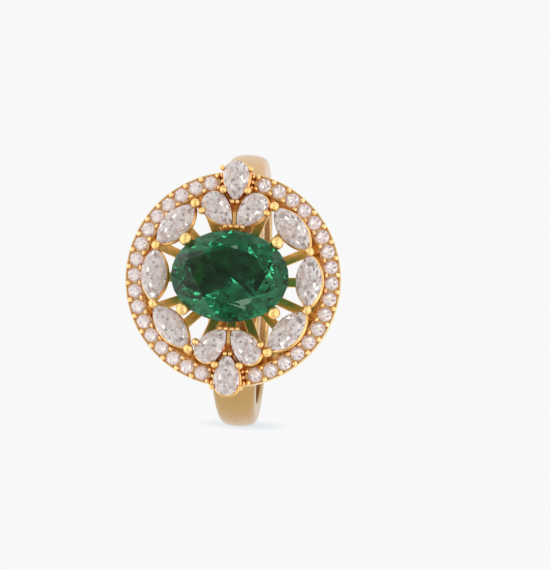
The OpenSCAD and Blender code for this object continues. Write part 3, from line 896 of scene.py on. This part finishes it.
def collet(kind, length, width, matrix):
    """The cup under a stone: a thin wall with a wider rounded ledge at its foot."""
    wall_in, wall_out = -COLLET_INSET, COLLET_WALL - COLLET_INSET
    soft = 0.05 * MM
    ledge_top = COLLET_FOOT + LEDGE_H
    section = [
        (FLANGE - soft, COLLET_FOOT), (FLANGE, COLLET_FOOT + soft),
        (FLANGE, ledge_top - soft), (FLANGE - soft, ledge_top),
        (wall_out, ledge_top + soft / 2), (wall_out, COLLET_TOP - soft),
        (wall_out - soft, COLLET_TOP), (wall_in + soft, COLLET_TOP),
        (wall_in, COLLET_TOP - soft), (wall_in, COLLET_FOOT + soft),
        (wall_in + soft, COLLET_FOOT),
    ]
    return placed(loft("collet", kind, length, width, section, steps=72), matrix)


def bar(start, end, width, height, radius=0.06 * MM):
    """A straight bar of rounded section between two points at one height."""
    start, end = Vector(start), Vector(end)
    along = (end - start).normalized()
    across = Vector((-along.y, along.x, 0))
    up = along.cross(across)
    rings = []
    for at in (start, end):
        rings.append([at + across * u + up * v
                      for u, v in rounded_box(width / 2, height / 2, radius, 3)])
    return tube("bar", rings)


def cross_bar(width, matrix, height):
    """The bar across a cup, from one wall to the other."""
    half = width / 2 - COLLET_INSET + 0.1 * MM
    ends = [matrix @ Vector((0, side * half, LEDGE_Z - CLUSTER_Z)) for side in (-1, 1)]
    return bar(*ends, 0.6 * MM, height)


def prong(at, radius, bead_radius):
    """An upright prong with a round bead, at a point beside a stone."""
    start = (at[0], at[1], CLUSTER_Z + COLLET_FOOT)
    end = (at[0], at[1], CLUSTER_Z + PRONG_RISE)
    return capsule(start, end, radius, bead_radius)


def post(at, radius, top, foot):
    """An upright round post between two heights."""
    profile = [(0, foot), (radius, foot), (radius, top), (0, top)]
    return placed(lathe("post", profile, steps=28), Matrix.Translation((at[0], at[1], 0)))


def build_marquise_settings():
    """Six cups on posts. The right and left ones carry the prongs they share with the rest."""
    for i, place in enumerate(MARQUISES):
        matrix = marquise_matrix(place)
        pieces = [
            collet("marquise", MARQUISE_L, MARQUISE_W, matrix),
            cross_bar(MARQUISE_W, matrix, LEDGE_H),
            post(matrix.translation, POST_R, LEDGE_Z, spoke_top(MARQUISE_R) + 0.02 * MM),
        ]
        pieces += marquise_prongs(i, matrix)
        setting = union("marquise_collet_" + place, pieces)
        near = [i - 1, i, i + 1] if i % 3 == 0 else [i]
        for k in near:
            room = stone_room("marquise", MARQUISE_L, MARQUISE_W,
                              marquise_matrix(MARQUISES[k % len(MARQUISES)]))
            combined(setting, room, "DIFFERENCE")
        dress(smooth(setting), polished, "gold", "marquise_setting_" + place)


def marquise_prongs(i, matrix):
    """The shared pair for the right or left setting, and one prong at a tip for the others."""
    if i % 3:
        side = 1 if i in (1, 4) else -1
        at = matrix @ Vector((side * (MARQUISE_L / 2 + TIP_GAP), 0, 0))
        return [prong(at, PRONG_R, TIP_BEAD_R)]
    neighbour = centre_of("marquise_stone_upper_right")
    step = math.atan2(neighbour.y, neighbour.x)
    shared_r = MARQUISE_R / math.cos(step / 2 - math.radians(2))
    turn = math.atan2(matrix.translation.y, matrix.translation.x)
    prongs = []
    for side in (-1, 1):
        a = turn + side * step / 2
        at = (shared_r * math.cos(a), shared_r * math.sin(a))
        prongs.append(prong(at, PRONG_R, SHARED_BEAD_R))
    return prongs


def build_pear_settings():
    """Three cups on a flat web, with a stem and a beaded bar beside the centre stone."""
    for group, up in (("top", 1), ("bottom", -1)):
        outer_y = abs(pear_matrix(group, "outer").translation.y)
        right = pear_matrix(group, "right")
        tip = right @ Vector((-PEAR_REACH, 0, 0))
        pieces = []
        for place in PEARS:
            matrix = pear_matrix(group, place)
            pieces.append(collet("pear", PEAR_L, PEAR_W, matrix))
            pieces.append(cross_bar(PEAR_W, matrix, LEDGE_H - 0.01 * MM))
        pieces += pear_web(up, outer_y, right.translation, abs(tip.y))
        pieces += pear_prongs(up, outer_y, tip.x, abs(tip.y))
        setting = union(f"pear_collets_{group}", pieces)
        for place in PEARS:
            room = stone_room("pear", PEAR_L, PEAR_W, pear_matrix(group, place))
            combined(setting, room, "DIFFERENCE")
        dress(smooth(setting), polished, "gold", "pear_setting_" + group)


def pear_web(up, outer_y, right, tip_y):
    """What joins a group's three cups and carries them; up is 1 for the top group, or -1."""
    round_x, round_y = right.x, abs(right.y)
    bar_y, bar_half, bar_top = up * (tip_y - 0.13 * MM), 0.75 * MM, 0.05 * MM
    bar_h = bar_top - COLLET_FOOT
    bar_z = CLUSTER_Z + bar_top - bar_h / 2
    stem_end = tip_y + 1.0 * MM
    return [
        bar((0, up * (tip_y + 0.6 * MM), LEDGE_Z), (0, up * outer_y, LEDGE_Z), 0.5 * MM,
            LEDGE_H - 0.02 * MM),
        bar((-round_x, up * round_y, LEDGE_Z), (round_x, up * round_y, LEDGE_Z), 0.5 * MM,
            LEDGE_H - 0.03 * MM),
        bar((-bar_half, bar_y, bar_z), (bar_half, bar_y, bar_z), 0.24 * MM, bar_h),
        bar((0, up * (tip_y - 0.1 * MM), PEAR_STEM_Z), (0, up * stem_end, PEAR_STEM_Z),
            0.34 * MM, 0.5 * MM, 0.1 * MM),
        post((0, up * (stem_end - 0.05 * MM)), 0.25 * MM, PEAR_STEM_Z,
             spoke_top(stem_end) + 0.08 * MM),
        post((0, up * MELEE_R), POST_R, LEDGE_Z, HALO_TOP + 0.002 * MM),
    ]


def pear_prongs(up, outer_y, tip_x, tip_y):
    """A group's prongs in mirrored pairs: by the outer stone, the side stones, and the bar."""
    # Place, prong radius in mm and bead radius in mm
    pairs = [
        (1.08 * PEAR_W / 2, outer_y + 0.4 * MM, 0.15, 0.20),
        (0.93 * PEAR_W / 2, outer_y - 1.3 * MM, 0.23, 0.30),
        (0.19 * PEAR_W / 2, outer_y - PEAR_REACH - 0.17 * MM, 0.13, 0.18),
        (tip_x + 2.18 * MM, tip_y + 1.02 * MM, 0.2, 0.30),
        (tip_x - 0.08 * MM, tip_y - 0.12 * MM, 0.13, 0.18),
        (tip_x + 0.34 * MM, tip_y - 0.14 * MM, 0.13, 0.18),
    ]
    return [prong((side * x, up * y), radius * MM, bead * MM)
            for x, y, radius, bead in pairs for side in (-1, 1)]


# ---- Stage ----------------------------------------------------------------------------

FLOOR_REACH, FLOOR_DARK, FLOOR_PALE = 4.0, 3 * (0.939,), 3 * (0.944,)
# Shadow: its middle in mm from the ring's and beyond the band, its half size and its colour
SHADOW_X, SHADOW_BEYOND, SHADOW_SIZE = -0.4, 0.45, (4.2, 0.5, 4.2)
SHADOW_COLOUR, SHADOW_DEPTH = (0.46, 0.58, 0.66), 0.55


def build_stage():
    """A plain pale floor that stays even, but for a faint cool shadow beyond the band."""
    z = shank_low.z
    corners = [(sx * FLOOR_REACH, sy * FLOOR_REACH, z)
               for sx, sy in ((-1, -1), (1, -1), (1, 1), (-1, 1))]
    floor = new_object("floor", corners, [(0, 1, 2, 3)])
    n = Nodes(bpy.data.materials.new("pale_floor"))
    where = n.in_mm()
    tone = n.ramp(n.noise(where, 0.01), (0.3, FLOOR_DARK), (0.7, FLOOR_PALE))
    middle = (SHADOW_X, shank_low.y / MM + SHADOW_BEYOND, z / MM)
    spot = n.add("ShaderNodeMapping", {"vector_type": "TEXTURE"}, Vector=where,
                 Location=middle, Scale=SHADOW_SIZE)
    ball = n.add("ShaderNodeTexGradient", {"gradient_type": "SPHERICAL"},
                 Vector=spot.outputs["Vector"])
    painted_shade_fade = n.spread(ball.outputs["Fac"], 0.0, SHADOW_DEPTH, 0.0, 1.0)
    shade = n.mixed(painted_shade_fade, tone, (*SHADOW_COLOUR, 1))
    glow_with_painted_light = n.add("ShaderNodeEmission", Color=shade, Strength=1.0)
    floor.data.materials.append(n.finish(glow_with_painted_light.outputs["Emission"]))


# How bright the room is at each angle away from the lens, in degrees
TENT = [(0, 0.05), (3.5, 0.06), (6, 0.46), (30, 0.56), (50, 0.42), (70, 0.40), (82, 1.0)]
TENT_TINT = (1, 0.98, 0.965)
LENS_DIRECTION = (0.080, -0.070, 0.994)
# How bright the side panels are
PANEL = 0.75


def build_world():
    """A dim studio with a soft bright panel on either side and the lens's dark opening."""
    world = bpy.data.worlds.new("studio")
    bpy.context.scene.world = world
    n = Nodes(world)
    where = n.add("ShaderNodeTexCoord").outputs["Generated"]
    toward_lens = n.vector_maths("DOT_PRODUCT", where, LENS_DIRECTION, output="Value")
    share = n.maths("DIVIDE", n.maths("ARCCOSINE", toward_lens), math.pi / 2)
    tent = n.ramp(share, *((degrees / 90, [level * t for t in TENT_TINT])
                           for degrees, level in TENT))
    flicker = n.dimmed(tent, n.spread(n.noise(where, 5.5, detail=2.0), 0.55, 1.5))
    split = n.add("ShaderNodeSeparateXYZ", Vector=where)
    aside = n.maths("ABSOLUTE", split.outputs["X"])
    panels = n.spread(aside, 0.0, PANEL, from_low=0.35, from_high=0.62)
    patches = n.spread(n.noise(where, 2.6, detail=1.0), 0.6, 1.4)
    total = n.vector_maths("ADD", flicker, n.maths("MULTIPLY", panels, patches))
    back = n.add("ShaderNodeBackground", Color=total, Strength=1.0)
    n.add("ShaderNodeOutputWorld", Surface=back.outputs["Background"])


WARM, NEUTRAL = (1.0, 0.97, 0.92), (1.0, 1.0, 1.0)
LIGHT_REACH, LIGHT_RISE = 0.42, math.radians(54)
LIGHT_SIDE, LIGHT_POWER = 0.09, 0.12


def softbox(name, at, colour):
    """A small square light that faces the stones."""
    light = bpy.data.lights.new(name, "AREA")
    light.shape = "RECTANGLE"
    light.size = LIGHT_SIDE
    light.size_y = LIGHT_SIDE
    light.energy = LIGHT_POWER
    light.color = colour
    obj = bpy.data.objects.new(name, light)
    bpy.context.scene.collection.objects.link(obj)
    obj.location = at
    aim = Vector((0, 0, halo_high.z)) - Vector(at)
    obj.rotation_euler = aim.to_track_quat("-Z", "Y").to_euler()


def build_lights():
    """Four small soft lights, set between the directions that the centre stone mirrors."""
    flat, rise = LIGHT_REACH * math.cos(LIGHT_RISE), LIGHT_REACH * math.sin(LIGHT_RISE)
    for turn, colour in ((67, WARM), (135, NEUTRAL), (270, NEUTRAL), (337, WARM)):
        a = math.radians(turn)
        softbox(f"light_{turn}", (flat * math.cos(a), flat * math.sin(a), rise), colour)


CAMERA_YAW, CAMERA_PITCH, CAMERA_ROLL = math.radians(4.6), math.radians(4.0), math.radians(2.8)
CAMERA_DISTANCE, CAMERA_LENS, CAMERA_SENSOR = 0.280, 230, 36
# The camera looks this far right of and below the halo's middle, where the photo's centre is
CAMERA_ASIDE = (3.24 * MM, -0.45 * MM)


def camera_axes(back, up_hint):
    """The camera's right, up and backward directions."""
    back = back.normalized()
    right = up_hint.cross(back).normalized()
    return right, back.cross(right), back


def build_camera():
    """A long lens above the stones, a little to the right and below, turned slightly."""
    halo_centre = Vector((0, 0, MELEE_Z))
    up_hint = Vector((-math.sin(CAMERA_ROLL), math.cos(CAMERA_ROLL), 0))
    from_ring = Vector((math.sin(CAMERA_YAW), -math.sin(CAMERA_PITCH), 1))
    right, up, back = camera_axes(from_ring, up_hint)
    position = halo_centre + back * CAMERA_DISTANCE
    target = halo_centre + right * CAMERA_ASIDE[0] + up * CAMERA_ASIDE[1]
    axes = Matrix(camera_axes(position - target, up_hint)).transposed().to_4x4()
    camera = bpy.data.objects.new("camera", bpy.data.cameras.new("camera"))
    bpy.context.scene.collection.objects.link(camera)
    camera.matrix_world = Matrix.Translation(position) @ axes
    camera.data.sensor_width = CAMERA_SENSOR
    camera.data.lens = CAMERA_LENS
    camera.data.clip_start = 0.01
    camera.data.clip_end = 10
    bpy.context.scene.camera = camera


build_stones()
build_shank()
build_gallery()
build_halo()
build_basket()
build_marquise_settings()
build_pear_settings()
build_stage()
build_world()
build_lights()
build_camera()
bpy.context.scene.view_settings.view_transform = "Standard"
